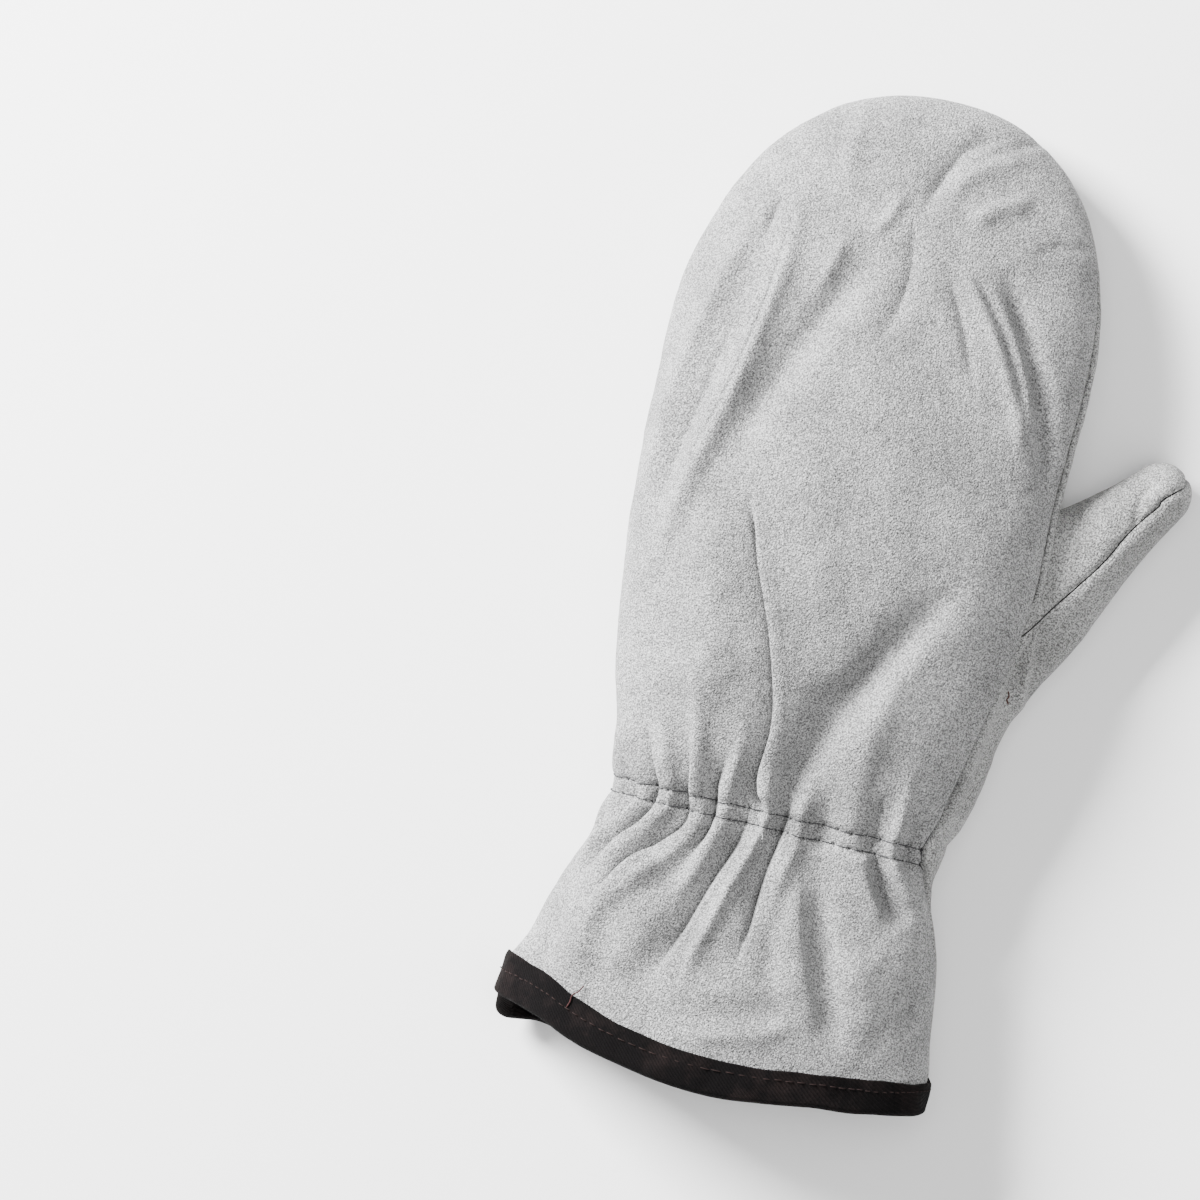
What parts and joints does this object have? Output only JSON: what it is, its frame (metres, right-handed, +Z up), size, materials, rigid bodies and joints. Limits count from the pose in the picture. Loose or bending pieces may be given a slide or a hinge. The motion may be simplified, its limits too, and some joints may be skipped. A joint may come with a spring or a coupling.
{
  "type": "leather work mitt",
  "caption": "Left-hand split leather work mitt with a rounded finger pouch, an angled thumb, a back gathered by elastic at the wrist, and a flared cuff bound in dark tape.",
  "frame": {"origin": "on the flat underside of the palm, where the mitt rests palm down", "axes": "+Z up, out of the back of the hand; +Y from the cuff to the fingertips; +X to the thumb side"},
  "size_m": [0.1642, 0.2945, 0.0457],
  "materials": {
    "back_leather": "pale grey suede, the rough side of split leather, with a fine soft nap",
    "palm_leather": "pale grey suede, the rough side of split leather, with a fine soft nap",
    "binding_tape": "dark brown-black twill tape, folded over the hem and worn lighter at the fold"
  },
  "bodies": {
    "root": {"back_panel": "back_leather", "palm_panel": "palm_leather", "palm_cuff_panel": "palm_leather", "thumb_panel": "palm_leather", "cuff_binding": "binding_tape"}
  },
  "joints": []
}
